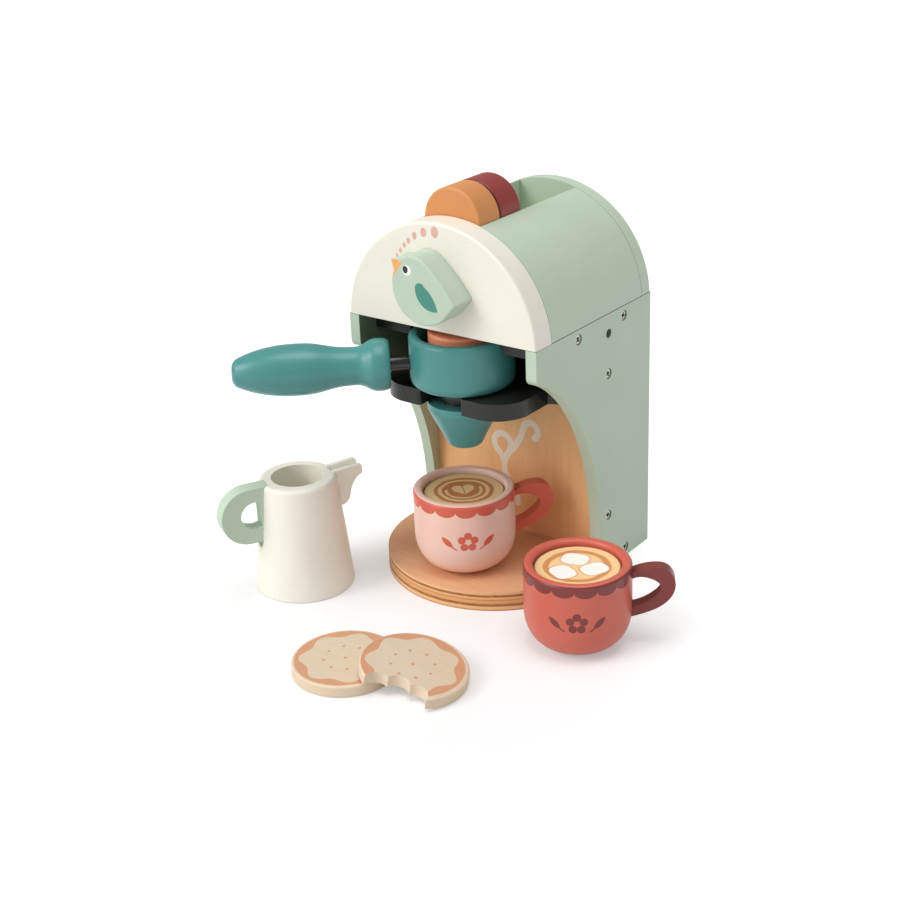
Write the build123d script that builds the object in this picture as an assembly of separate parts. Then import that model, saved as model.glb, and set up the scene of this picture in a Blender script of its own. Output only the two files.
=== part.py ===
from build123d import *
from math import acos, asin, atan2, cos, degrees, hypot, radians, sin, sqrt
import os

# A wooden toy espresso machine with its play pieces, in millimetres.
# X runs to the machine's right, Y to its back and Z up. The origin is the middle of the
# machine's footprint, on the surface that it stands on.

# ---- casing ------------------------------------------------------------------------------
body_width = 130.0
body_depth = 120.0
seam_height = 163.0              # top of the side panels, where the head starts
head_rise = 62.0                 # crown of the head above that seam
panel_thickness = 7.0
fascia_thickness = 15.0
rear_arch_thickness = 10.0
shell_wall = 8.0
painted_edge_radius = 1.6

base_thickness = 12.0
tray_radius = 67.6
tray_setback = 49.5              # centre of the tray's disc behind the fascia's face
panel_foot_setback = 63.5        # front edge of the side panels at the floor
panel_chin = 19.5                # plumb front edge of the side panels under the seam
panel_foot_rise = 25.0           # plumb front edge of the side panels over the floor
panel_nose_radius = 5.0
sweep_top_pull = 0.44            # of the sweep's depth, how far its top runs level
sweep_top_fall = 0.08            # of the sweep's height, how much it falls on the way
sweep_foot_pull = 0.565          # of the sweep's height, how far its foot runs plumb

splash_setback = 69.0            # face of the splash board behind the fascia's face
splash_thickness = 9.0
head_base_thickness = 12.0
bowl_notch_gap = 2.0             # head base beside and behind the portafilter's bowl

# ---- capsules, their slot and the gate that lets them drop ---------------------------------
capsule_radius = 19.2
capsule_thickness = 19.4
capsule_edge_radius = 1.5
capsule_sink = 22.4              # underside of a standing capsule below the head's crown
capsule_front_gap = 0.6
capsule_side_gap = 0.5
cheek_thickness = 6.0
rail_thickness = 5.2

axle_radius = 5.0
gate_shelf_thickness = 4.5
gate_half_width = 10.0
gate_arm_thickness = 5.0
gate_hub_radius = 9.0

# ---- bird knob ---------------------------------------------------------------------------
knob_thickness = 16.0
knob_breast_radius = 20.8
knob_breast_centre = (2.0, 13.8) # right of the axle and over it
knob_breast_low_angle = 240.0    # degrees, a point low on the breast
knob_head_radius = 13.0
knob_head_angle = 140.0          # degrees, direction of the head from the breast's centre
knob_crown_angle = 95.0          # degrees, a point on the crown
knob_nape_angle = 52.0           # degrees, where the head runs out to the back
knob_tail_tip = (24.0, 7.4)
knob_tail_radius = 1.6
knob_beak_tip = (-18.9, 27.6)
knob_beak_angles = (137.0, 163.0)    # degrees, the beak's roots round the breast's centre
knob_beak_seat = 1.0             # roots of the beak inside the breast's line
knob_edge_radius = 1.3
axle_knob_depth = 9.6            # axle's reach into the knob

# ---- fork and portafilter ------------------------------------------------------------------
filter_setback = 20.5            # portafilter's axis behind the fascia's face
fork_thickness = 10.0
fork_arm_half_width = 47.0
fork_nose = 2.5                  # fork's arms stand out this far in front of the fascia
fork_nose_radius = 21.0
fork_mouth_radius = 2.0
fork_waist_setback = 36.0        # where the arms begin to widen towards the side panels
fork_flare_length = 7.0

neck_radius = 14.0
bowl_radius = 30.4
bowl_height = 30.2
bowl_wall = 6.4
bowl_seat_depth = 17.8
bowl_rim_radius = 2.5
bowl_foot_radius = 5.0
capsule_headroom = 4.4           # between the capsule in the bowl and the head
cone_height = 28.2
cone_shoulder_radius = 21.2
cone_shoulder_height = 4.5
cone_tip_radius = 9.6
cone_edge_radius = 3.6
filter_pin_radius = 5.0
filter_pin_depth = 8.0           # pin's reach into the bowl
filter_pin_seat = 14.0           # pin's reach into the cone
rod_radius = 4.5
rod_rise = 13.2                  # rod's axis over the bowl's underside
rod_socket_depth = 5.4
rod_handle_depth = 24.0
handle_angle = 41.1              # degrees, from the machine's left towards its front
handle_gap = 11.0                # bare rod between the bowl and the handle
handle_length = 89.6
handle_collar_radius = 15.2
handle_collar_round = 2.8        # rounding of the collar's face towards the bowl
handle_collar_place = 6.4        # along the handle, from its end at the bowl
handle_waist_radius = 11.0
handle_waist_place = 20.0
handle_swell_radius = 14.9
handle_swell_place = 53.0
handle_taper_pull = (11.5, 80.0) # radius and place that the taper is drawn towards
handle_shoulder_radius = 8.0
handle_shoulder_place = 87.2
handle_tip_radius = 4.0          # flat of the far end

# ---- cups ----------------------------------------------------------------------------------
cup_radius = 30.1
cup_height = 49.5
cup_foot_radius = 12.5
cup_foot_pull = 20.0             # radius that the foot's curve is drawn towards
cup_side_pull = 6.0              # height that the side's curve is drawn towards
cup_shoulder_height = 22.0
cup_wall = 5.5
cup_bore_depth = 13.4
cup_rim_radius = 2.0
drink_disc_thickness = 9.8
drink_disc_edge_radius = 1.2
cup_ear_reach = 53.7
cup_ear_thickness = 8.0
# Shares of the ear's reach and of the cup's height, from the upper root to the lower one.
cup_ear_outer_line = ((0, 0.865), (0.5, 0.955), (0.83, 0.925), (0.99, 0.755), (0.87, 0.57),
                      (0.5, 0.425), (0, 0.335))
cup_ear_inner_line = ((0, 0.75), (0.47, 0.825), (0.7, 0.715), (0.56, 0.595), (0, 0.485))
pink_cup_offset = (-0.5, 17.6)   # across, and behind the fascia's face
pink_cup_angle = 47.0
red_cup_offset = (94.7, -7.2)
red_cup_angle = 32.0

# ---- jug -----------------------------------------------------------------------------------
jug_height = 70.0
jug_foot_radius = 29.8
jug_rim_radius = 23.0
jug_bore_radius = 15.7
jug_bore_depth = 45.0
jug_rim_edge_radius = 2.6
jug_foot_edge_radius = 1.2
jug_ear_thickness = 10.0
jug_ear_radius = 17.5
jug_ear_reach = 49.9
jug_ear_hole_radius = 8.5
jug_ear_hole_inset = 3.1         # hole's centre nearer to the jug than the ear's
spout_thickness = 13.0
spout_reach = 38.6
spout_height = 22.4              # spout's depth under the jug's rim
spout_crest = 1.5                # spout's tips over the jug's rim
spout_tip_depth = 4.5            # foot of the spout's plumb tip under the jug's rim
# Shares of the spout's reach and height, from its foot on the wall up to its tip.
spout_throat_line = ((0.28, 0.11), (0.43, 0.39), (0.63, 0.64))
spout_groove_depth = 7.0
spout_lip = 2.8
seat_depth = 3.4                 # seats of spout and ear in the jug's wall, at its rim
jug_offset = (-81.2, -38.2)
jug_angle = 62.0

# ---- biscuits ------------------------------------------------------------------------------
biscuit_radius = 29.8
biscuit_thickness = 7.0
biscuit_edge_radius = 1.2
bite_radius = 7.3
bite_reaches = (26.0, 20.5, 25.2)       # each bite's centre from the biscuit's own centre
bite_angles = (-102.0, -79.5, -52.5)    # degrees, the direction of each
whole_biscuit_offset = (5.5, -102.5)
bitten_biscuit_offset = (46.0, -94.0)

# ---- clearances and fasteners ----------------------------------------------------------------
fit_gap = 0.3                    # between a piece and the seat that it is lifted from
running_gap = 0.05               # radial, for a dowel that turns in its bore
screw_shank_radius = 1.6
screw_head_radius = 3.2
screw_head_depth = 2.2
screw_length = 22.0
head_screw_front = 27.0          # screws into the head base, behind the shell's front
head_screw_rear = 20.0           # and before the shell's back
splash_screw_rise = 24.0         # lower screw into the splash board, over the tray
tray_screw_front = 12.0          # screws into the tray, behind the panel's foot
tray_screw_rear = 30.0
dowel_radius = 2.0
dowel_length = 20.0
rear_dowel_share = 0.7           # of the rear arch's thickness, taken by its dowels
dowel_angles = (18.0, 55.0, 125.0, 162.0)
pilot_hole_radius = 1.8
pilot_hole_depth = 4.0

# ---- places worked out from those sizes --------------------------------------------------------
half_width = body_width / 2
inner_half = half_width - panel_thickness
front_y = -body_depth / 2
rear_y = body_depth / 2
crown_z = seam_height + head_rise
head_radius = (half_width**2 + head_rise**2) / (2 * head_rise)
head_centre_z = crown_z - head_radius
shell_inner_radius = head_radius - shell_wall
shell_front_y = front_y + fascia_thickness
shell_rear_y = rear_y - rear_arch_thickness
splash_y = front_y + splash_setback
splash_middle_y = splash_y + splash_thickness / 2
splash_rear_y = splash_y + splash_thickness
head_base_z = seam_height - head_base_thickness
panel_foot_y = front_y + panel_foot_setback
tray_centre_y = front_y + tray_setback

capsule_seat_z = crown_z - capsule_sink
capsule_front_y = shell_front_y + capsule_front_gap
slot_half = capsule_radius + capsule_side_gap
gate_inner_radius = capsule_radius + capsule_side_gap / 2
gate_outer_radius = gate_inner_radius + gate_shelf_thickness
axle_z = capsule_seat_z - fit_gap - gate_outer_radius
gate_shelf_rear_y = capsule_front_y + capsule_thickness
rail_front_y = gate_shelf_rear_y + fit_gap
rail_top_z = capsule_seat_z - fit_gap
rail_foot_z = rail_top_z - rail_thickness

filter_y = front_y + filter_setback
bowl_seat_z = seam_height - capsule_headroom - capsule_thickness
bowl_top_z = bowl_seat_z + bowl_seat_depth
bowl_foot_z = bowl_top_z - bowl_height
bowl_bore_radius = bowl_radius - bowl_wall
fork_top_z = bowl_foot_z - fit_gap
fork_underside = fork_top_z - fork_thickness
cone_top_z = fork_underside - fit_gap
cone_tip_z = cone_top_z - cone_height
rod_z = bowl_foot_z + rod_rise
handle_start = bowl_radius + handle_gap
knob_y = front_y - fit_gap - knob_thickness


# ---- small helpers -----------------------------------------------------------------------------
def upright_board(outline, y_start, thickness):
    """A board drawn in X and Z that runs from y_start towards the back."""
    return extrude(Plane.XZ.offset(-y_start) * outline, amount=-thickness)


def side_board(outline, x_start, thickness):
    """A board drawn in Y and Z that runs from x_start towards the right."""
    return extrude(Plane.YZ.offset(x_start) * outline, amount=thickness)


def block(x_range, y_range, z_range):
    """A plain block between two values on each axis."""
    low, high = zip(x_range, y_range, z_range)
    size = [top - bottom for bottom, top in zip(low, high)]
    middle = [(top + bottom) / 2 for bottom, top in zip(low, high)]
    return Pos(*middle) * Box(*size)


def rod_along(plane, radius, length):
    """A cylinder from the plane's origin along its normal."""
    return extrude(plane * Circle(radius), amount=length)


def nearest_corner(face, x, y):
    """The corner of a flat outline that lies nearest to a point."""
    return face.vertices().sort_by_distance((x, y))[0]


def on_circle(centre, radius, angle):
    """The point of a circle at an angle in degrees."""
    return (centre[0] + radius * cos(radians(angle)), centre[1] + radius * sin(radians(angle)))


def turned(profile):
    """A lathe-turned solid from a half profile drawn in X (radius) and Z."""
    return revolve(Plane.XZ * profile, Axis.Z)


# ---- fasteners ---------------------------------------------------------------------------------
def side_screw_places():
    """Y and Z of the screws in each side panel: head base, splash board and tray."""
    head_middle = head_base_z + head_base_thickness / 2
    base_middle = base_thickness / 2
    return [
        (shell_front_y + head_screw_front, head_middle),
        (shell_rear_y - head_screw_rear, head_middle),
        (splash_middle_y, fork_top_z),
        (splash_middle_y, base_thickness + splash_screw_rise),
        (panel_foot_y + tray_screw_front, base_middle),
        (panel_foot_y + tray_screw_rear, base_middle),
    ]


def wood_screw(plane):
    """A countersunk screw, flush with the plane and driven along its normal."""
    head = Pos(0, 0, screw_head_depth / 2) * Cone(screw_head_radius, screw_shank_radius,
                                                  screw_head_depth)
    shank = Pos(0, 0, screw_length / 2) * Cylinder(screw_shank_radius, screw_length)
    return plane.location * (head + shank)


def side_screw(side, y, z):
    """One screw through the left (-1) or right (+1) panel."""
    return wood_screw(Plane(origin=(side * half_width, y, z), z_dir=(-side, 0, 0)))


def side_screw_row(side):
    """All the screws through one panel."""
    return [side_screw(side, y, z) for y, z in side_screw_places()]


def fork_screw_row():
    """Screws from behind, through the splash board and into the fork."""
    height = fork_underside + fork_thickness / 2
    reach = inner_half - screw_length
    return [
        wood_screw(Plane(origin=(x, splash_rear_y, height), z_dir=(0, -1, 0)))
        for x in (-reach / 2, 0, reach / 2)
    ]


def head_dowel_row(y_start):
    """One ring of dowels in the middle of the shell's wall."""
    ring_radius = head_radius - shell_wall / 2
    return [
        rod_along(
            Plane(origin=(ring_radius * cos(radians(angle)), y_start,
                          head_centre_z + ring_radius * sin(radians(angle))),
                  z_dir=(0, 1, 0)),
            dowel_radius, dowel_length)
        for angle in dowel_angles
    ]


def head_dowel_rows():
    """The dowels between fascia and shell, and between shell and rear arch."""
    front_row = head_dowel_row(shell_front_y - dowel_length / 2)
    rear_end = shell_rear_y + rear_dowel_share * rear_arch_thickness
    return front_row + head_dowel_row(rear_end - dowel_length)


# ---- casing ------------------------------------------------------------------------------------
def arch_outline(radius):
    """The head's D shape: an arc over a flat foot at the seam."""
    foot_half = sqrt(radius**2 - (seam_height - head_centre_z) ** 2)
    left, right = (-foot_half, seam_height), (foot_half, seam_height)
    crown = (0, head_centre_z + radius)
    return make_face([ThreePointArc(left, crown, right), Line(right, left)])


def arch_board(y_start, thickness, outer_y):
    """A D-shaped end board whose curved outer edge is softened."""
    board = upright_board(arch_outline(head_radius), y_start, thickness)
    rim = board.edges().filter_by(GeomType.CIRCLE).sort_by_distance((0, outer_y, crown_z))[0]
    return fillet(rim, painted_edge_radius)


def gate_pocket():
    """The hollow behind the fascia's face in which the gate's arm swings to the left."""
    depth = gate_arm_thickness + fit_gap
    pocket_y = shell_front_y - depth
    axle_plane = Plane(origin=(0, pocket_y, axle_z), z_dir=(0, 1, 0))
    swing = rod_along(axle_plane, gate_outer_radius + fit_gap, depth)
    side = gate_half_width + fit_gap
    quarter = block((-body_width, side), (pocket_y, shell_front_y), (axle_z - side, crown_z))
    return (swing & quarter) + rod_along(axle_plane, gate_hub_radius + fit_gap, depth)


def fascia():
    """The cream front board, with the axle's bore and the gate's pocket."""
    board = arch_board(front_y, fascia_thickness, front_y)
    bore = rod_along(Plane(origin=(0, front_y, axle_z), z_dir=(0, 1, 0)),
                     axle_radius + running_gap, fascia_thickness)
    return board - bore - gate_pocket() - head_dowel_rows()


def head_shell(side):
    """The left (-1) or right (+1) half of the barrel, beside the open capsule slot."""
    ring = arch_outline(head_radius) - arch_outline(shell_inner_radius)
    barrel = upright_board(ring, shell_front_y, shell_rear_y - shell_front_y)
    x_range = sorted((side * slot_half, side * half_width))
    return (barrel & block(x_range, (shell_front_y, shell_rear_y), (seam_height, crown_z))
            - head_dowel_rows())


def rear_arch():
    """The head's back board."""
    return arch_board(shell_rear_y, rear_arch_thickness, rear_y) - head_dowel_rows()


def panel_outline():
    """A side panel: plumb under the seam, swept back below and plumb again at its foot."""
    chin_z = seam_height - panel_chin
    sweep_drop = chin_z - panel_foot_rise
    chin = (front_y, chin_z)
    sweep_foot = (panel_foot_y, panel_foot_rise)
    pull_out = (front_y + sweep_top_pull * panel_foot_setback,
                chin_z - sweep_top_fall * sweep_drop)
    pull_down = (panel_foot_y, panel_foot_rise + sweep_foot_pull * sweep_drop)
    outline = make_face([
        Line((front_y, seam_height), chin),
        Bezier(chin, pull_out, pull_down, sweep_foot),
        Line(sweep_foot, (panel_foot_y, 0)),
        Line((panel_foot_y, 0), (rear_y, 0)),
        Line((rear_y, 0), (rear_y, seam_height)),
        Line((rear_y, seam_height), (front_y, seam_height)),
    ])
    return fillet(nearest_corner(outline, *chin), panel_nose_radius)


def side_panel(side):
    """The left (-1) or right (+1) side panel, countersunk for its screws."""
    x_start = inner_half if side > 0 else -half_width
    panel = side_board(panel_outline(), x_start, panel_thickness)
    pilot_plane = Plane(origin=(side * half_width, splash_middle_y, head_base_z),
                        z_dir=(-side, 0, 0))
    return panel - side_screw_row(side) - rod_along(pilot_plane, pilot_hole_radius,
                                                    pilot_hole_depth)


def tray_base():
    """The plywood tray: a disc in front, a tongue between the side panels behind."""
    disc = Pos(0, tray_centre_y, base_thickness / 2) * Cylinder(tray_radius, base_thickness)
    disc -= block((-body_width, body_width), (panel_foot_y, body_depth), (0, base_thickness))
    tongue = block((-inner_half, inner_half), (tray_centre_y, rear_y), (0, base_thickness))
    return disc + tongue - side_screw_row(-1) - side_screw_row(1)


def splash_board():
    """The natural wood board between the side panels."""
    board = block((-inner_half, inner_half), (splash_y, splash_rear_y),
                  (base_thickness, head_base_z))
    return board - side_screw_row(-1) - side_screw_row(1) - fork_screw_row()


def head_base():
    """The board under the head, cut back round the portafilter's bowl."""
    z_range = (head_base_z, seam_height)
    board = block((-inner_half, inner_half), (shell_front_y, shell_rear_y), z_range)
    notch_half = bowl_radius + bowl_notch_gap
    notch = block((-notch_half, notch_half), (shell_front_y, filter_y + notch_half), z_range)
    return board - notch - side_screw_row(-1) - side_screw_row(1)


def slot_cheek(side):
    """The left (-1) or right (+1) wall of the capsule slot, under the shell."""
    middle_x = side * (slot_half + cheek_thickness / 2)
    strip = Pos(middle_x, (rail_foot_z + crown_z) / 2) * Rectangle(cheek_thickness,
                                                                   crown_z - rail_foot_z)
    return upright_board(strip & arch_outline(shell_inner_radius), shell_front_y,
                         shell_rear_y - shell_front_y)


def capsule_rail():
    """The slot's floor behind the gate, where the next capsules wait."""
    return block((-slot_half, slot_half), (rail_front_y, shell_rear_y),
                 (rail_foot_z, rail_top_z))


# ---- knob and release gate -----------------------------------------------------------------------
def bird_breast():
    """The middle of the bird's breast, in X and Z."""
    return (knob_breast_centre[0], axle_z + knob_breast_centre[1])


def bird_outline():
    """A plain little bird: a round breast that runs into the head, a taut back and a tail."""
    breast = bird_breast()
    head = on_circle(breast, knob_breast_radius - knob_head_radius, knob_head_angle)
    throat = on_circle(breast, knob_breast_radius, knob_head_angle)
    low = on_circle(breast, knob_breast_radius, knob_breast_low_angle)
    tail = (knob_tail_tip[0], axle_z + knob_tail_tip[1])
    tail_x, tail_z = tail[0] - breast[0], tail[1] - breast[1]
    fall_angle = degrees(atan2(tail_z, tail_x) - acos(knob_breast_radius / hypot(tail_x, tail_z)))
    breast_end = on_circle(breast, knob_breast_radius, fall_angle)
    nape = on_circle(head, knob_head_radius, knob_nape_angle)
    crown = on_circle(head, knob_head_radius, knob_crown_angle)
    body = make_face([
        ThreePointArc(throat, low, breast_end),
        Line(breast_end, tail),
        TangentArc(nape, tail, tangent=on_circle((0, 0), 1, knob_nape_angle - 90)),
        ThreePointArc(nape, crown, throat),
    ])
    return fillet(nearest_corner(body, *tail), knob_tail_radius)


def beak_outline():
    """A stub of a beak, rooted inside the breast's line."""
    roots = [on_circle(bird_breast(), knob_breast_radius - knob_beak_seat, angle)
             for angle in knob_beak_angles]
    tip = (knob_beak_tip[0], axle_z + knob_beak_tip[1])
    return make_face(Polyline([tip] + roots, close=True))


def knob_axle():
    """The dowel through the fascia that carries the knob and the gate."""
    start = knob_y + knob_thickness - axle_knob_depth
    return rod_along(Plane(origin=(0, start, axle_z), z_dir=(0, 1, 0)), axle_radius,
                     shell_front_y - start)


def bird_knob():
    """The thick bird-shaped knob in front of the fascia, its front rim softened."""
    body = upright_board(bird_outline(), knob_y, knob_thickness)
    body = fillet(body.faces().sort_by(Axis.Y)[0].edges(), knob_edge_radius)
    beak = upright_board(beak_outline(), knob_y + knob_edge_radius,
                         knob_thickness - knob_edge_radius)
    return body + beak - knob_axle()


def release_gate():
    """An arm in the fascia's pocket, with a curved shelf under the first capsule."""
    arm_y = shell_front_y - gate_arm_thickness
    axle_plane = Plane(origin=(0, arm_y, axle_z), z_dir=(0, 1, 0))
    shelf_length = gate_shelf_rear_y - arm_y
    x_range = (-gate_half_width, gate_half_width)
    sector = rod_along(axle_plane, gate_outer_radius, shelf_length)
    arm = sector & block(x_range, (arm_y, shell_front_y), (axle_z, crown_z))
    shelf = sector & block(x_range, (arm_y, gate_shelf_rear_y),
                           (axle_z + gate_inner_radius, crown_z))
    return arm + shelf + rod_along(axle_plane, gate_hub_radius, gate_arm_thickness) - knob_axle()


# ---- fork and portafilter --------------------------------------------------------------------------
def fork_half_outline():
    """The fork's right half seen from above, from its slot out to the side panel."""
    nose_y = front_y - fork_nose
    waist_y = front_y + fork_waist_setback
    shoulder_y = waist_y + fork_flare_length
    flare_middle_y = (waist_y + shoulder_y) / 2
    arm = fork_arm_half_width
    outline = make_face([
        Line((0, nose_y), (arm, nose_y)),
        Line((arm, nose_y), (arm, waist_y)),
        Bezier((arm, waist_y), (arm, flare_middle_y), (inner_half, flare_middle_y),
               (inner_half, shoulder_y)),
        Line((inner_half, shoulder_y), (inner_half, splash_y)),
        Line((inner_half, splash_y), (0, splash_y)),
        Line((0, splash_y), (0, nose_y)),
    ])
    outline = fillet(nearest_corner(outline, arm, nose_y), fork_nose_radius)
    slot_reach = neck_radius + fit_gap
    outline -= Pos(0, filter_y) * Circle(slot_reach)
    outline -= Pos(0, (nose_y + filter_y) / 2) * Rectangle(2 * slot_reach, filter_y - nose_y)
    return fillet(nearest_corner(outline, slot_reach, nose_y), fork_mouth_radius)


def filter_fork():
    """The black shelf with the open slot in which the portafilter's neck slides."""
    half = fork_half_outline()
    plan = half + mirror(half, about=Plane.YZ)
    shelf = extrude(Plane.XY.offset(fork_underside) * plan, amount=fork_thickness)
    return shelf - fork_screw_row()


def filter_pin():
    """The dowel between the cone and the bowl, on which the bowl swivels."""
    start = cone_top_z - filter_pin_seat
    return rod_along(Plane(origin=(0, filter_y, start)), filter_pin_radius,
                     bowl_foot_z + filter_pin_depth - start)


def spout_cone():
    """The cone under the fork, with the neck that passes between its arms."""
    shoulder_z = cone_top_z - cone_shoulder_height
    profile = make_face(Polyline([
        (0, cone_tip_z),
        (cone_tip_radius, cone_tip_z),
        (cone_shoulder_radius, shoulder_z),
        (cone_shoulder_radius, cone_top_z),
        (neck_radius, cone_top_z),
        (neck_radius, bowl_foot_z),
        (0, bowl_foot_z),
    ], close=True))
    for corner in ((cone_tip_radius, cone_tip_z), (cone_shoulder_radius, shoulder_z)):
        profile = fillet(nearest_corner(profile, *corner), cone_edge_radius)
    return Pos(0, filter_y) * turned(profile) - filter_pin()


def handle_plane(distance):
    """A plane across the handle, its normal pointing away from the bowl."""
    out_x, out_y = -cos(radians(handle_angle)), -sin(radians(handle_angle))
    return Plane(origin=(distance * out_x, filter_y + distance * out_y, rod_z),
                 x_dir=(0, 0, 1), z_dir=(out_x, out_y, 0))


def handle_rod():
    """The black dowel between the bowl and its handle."""
    start = bowl_radius - rod_socket_depth
    return rod_along(handle_plane(start), rod_radius, handle_start + rod_handle_depth - start)


def filter_bowl():
    """The bowl, with a shallow round seat for one capsule."""
    profile = make_face(Polyline([
        (0, bowl_foot_z),
        (bowl_radius, bowl_foot_z),
        (bowl_radius, bowl_top_z),
        (bowl_bore_radius, bowl_top_z),
        (bowl_bore_radius, bowl_seat_z),
        (0, bowl_seat_z),
    ], close=True))
    for corner, radius in (((bowl_radius, bowl_foot_z), bowl_foot_radius),
                           ((bowl_radius, bowl_top_z), bowl_rim_radius),
                           ((bowl_bore_radius, bowl_top_z), bowl_rim_radius)):
        profile = fillet(nearest_corner(profile, *corner), radius)
    bore = rod_along(Plane(origin=(0, filter_y, bowl_foot_z)), filter_pin_radius + running_gap,
                     filter_pin_depth + fit_gap)
    return Pos(0, filter_y) * turned(profile) - bore - handle_rod()


def filter_handle():
    """The turned handle: a flared collar, a waist and a long swell with a round end."""
    face = (handle_collar_radius - handle_collar_round, 0)
    collar = (handle_collar_radius, handle_collar_place)
    waist = (handle_waist_radius, handle_waist_place)
    swell = (handle_swell_radius, handle_swell_place)
    shoulder = (handle_shoulder_radius, handle_shoulder_place)
    tip = (handle_tip_radius, handle_length)
    collar_to_waist = (collar[1] + waist[1]) / 2
    waist_to_swell = (waist[1] + swell[1]) / 2
    swell_pull = (swell[0], 2 * swell[1] - waist_to_swell)
    shoulder_pull = ((shoulder[0] + tip[0]) / 2, handle_length)
    profile = make_face([
        Line((0, 0), face),
        Bezier(face, (handle_collar_radius, 0), collar),
        Bezier(collar, (collar[0], collar_to_waist), (waist[0], collar_to_waist), waist),
        Bezier(waist, (waist[0], waist_to_swell), (swell[0], waist_to_swell), swell),
        Bezier(swell, swell_pull, handle_taper_pull, shoulder),
        Bezier(shoulder, shoulder_pull, tip),
        Line(tip, (0, handle_length)),
        Line((0, handle_length), (0, 0)),
    ])
    return handle_plane(handle_start).location * turned(profile) - handle_rod()


# ---- capsules ----------------------------------------------------------------------------------------
def capsule(plane):
    """A thick wooden disc with rounded rims, from the plane along its normal."""
    disc = rod_along(plane, capsule_radius, capsule_thickness)
    return fillet(disc.edges().filter_by(GeomType.CIRCLE), capsule_edge_radius)


def standing_capsule(order):
    """The first (0) or second (1) capsule, on edge in the slot."""
    pitch = capsule_thickness + fit_gap + running_gap
    return capsule(Plane(origin=(0, capsule_front_y + order * pitch,
                                 capsule_seat_z + capsule_radius), z_dir=(0, 1, 0)))


def lying_capsule():
    """The capsule that lies in the portafilter's bowl."""
    return capsule(Plane(origin=(0, filter_y, bowl_seat_z)))


# ---- cups --------------------------------------------------------------------------------------------
def cup_outside():
    """The outer line of a cup from its foot to its rim."""
    belly = (cup_radius, cup_shoulder_height)
    return [
        Line((0, 0), (cup_foot_radius, 0)),
        Bezier((cup_foot_radius, 0), (cup_foot_pull, 0), (cup_radius, cup_side_pull), belly),
        Line(belly, (cup_radius, cup_height)),
    ]


def cup_body():
    """A turned cup with a rounded foot and a shallow bore for its drink disc."""
    bore_radius, floor_z = cup_radius - cup_wall, cup_height - cup_bore_depth
    profile = make_face(cup_outside() + [Line((cup_radius, cup_height), (bore_radius, cup_height)),
                                         Line((bore_radius, cup_height), (bore_radius, floor_z)),
                                         Line((bore_radius, floor_z), (0, floor_z)),
                                         Line((0, floor_z), (0, 0))])
    for radius in (cup_radius, bore_radius):
        profile = fillet(nearest_corner(profile, radius, cup_height), cup_rim_radius)
    return turned(profile)


def cup_ear():
    """The cup's ear in the plane of X and Z, seated on the cup's wall."""
    root = cup_radius - cup_wall / 2
    reach = cup_ear_reach - root

    def loop(line):
        points = [(root + out * reach, up * cup_height) for out, up in line]
        return make_face([Spline(points), Line(points[-1], points[0])])

    outer, hole = loop(cup_ear_outer_line), loop(cup_ear_inner_line)
    ear = extrude(Plane.XZ * (outer - hole), amount=cup_ear_thickness / 2, both=True)
    core = make_face(cup_outside() + [Line((cup_radius, cup_height), (0, cup_height)),
                                      Line((0, cup_height), (0, 0))])
    return ear - turned(core)


def drink_disc():
    """The painted disc that lies in the cup's bore."""
    floor_z = cup_height - cup_bore_depth
    disc = rod_along(Plane(origin=(0, 0, floor_z + fit_gap)), cup_radius - cup_wall - fit_gap,
                     drink_disc_thickness)
    return fillet(disc.edges().group_by(Axis.Z)[-1], drink_disc_edge_radius)


def set_down(shape, offset, floor_z, turn):
    """A piece turned about Z and set down beside or on the machine."""
    return Pos(offset[0], front_y + offset[1], floor_z) * Rot(0, 0, turn) * shape


# ---- jug ---------------------------------------------------------------------------------------------
def jug_wall_radius(z):
    """The tapered jug's outer radius at a height."""
    return jug_foot_radius + (jug_rim_radius - jug_foot_radius) * z / jug_height


def jug_cone():
    """The jug's tapered outside, still without its bore."""
    profile = make_face(Polyline([(0, 0), (jug_foot_radius, 0), (jug_rim_radius, jug_height),
                                  (0, jug_height)], close=True))
    profile = fillet(nearest_corner(profile, jug_rim_radius, jug_height), jug_rim_edge_radius)
    profile = fillet(nearest_corner(profile, jug_foot_radius, 0), jug_foot_edge_radius)
    return turned(profile)


def jug_spout():
    """The pouring lip: a wedge with a V groove along its top."""
    root = jug_rim_radius - seat_depth
    foot_z = jug_height - spout_height
    tip_z = jug_height - spout_tip_depth
    crest_z = jug_height + spout_crest
    wall = jug_wall_radius(foot_z)
    throat = [(wall + out * (spout_reach - wall), foot_z + up * spout_height)
              for out, up in spout_throat_line]
    outline = make_face([
        Line((root, foot_z), (wall, foot_z)),
        Spline([(wall, foot_z)] + throat + [(spout_reach, tip_z)]),
        Line((spout_reach, tip_z), (spout_reach, crest_z)),
        Line((spout_reach, crest_z), (root, jug_height)),
        Line((root, jug_height), (root, foot_z)),
    ])
    for corner_z in (tip_z, crest_z):
        outline = fillet(nearest_corner(outline, spout_reach, corner_z), spout_crest)
    wedge = extrude(Plane.XZ * outline, amount=spout_thickness / 2, both=True)
    groove_half = spout_thickness / 2 - spout_lip
    groove = make_face(Polyline([
        (-groove_half, crest_z),
        (0, crest_z - spout_groove_depth),
        (groove_half, crest_z),
    ], close=True))
    return wedge - extrude(Plane.YZ * groove, amount=2 * spout_reach)


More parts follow.
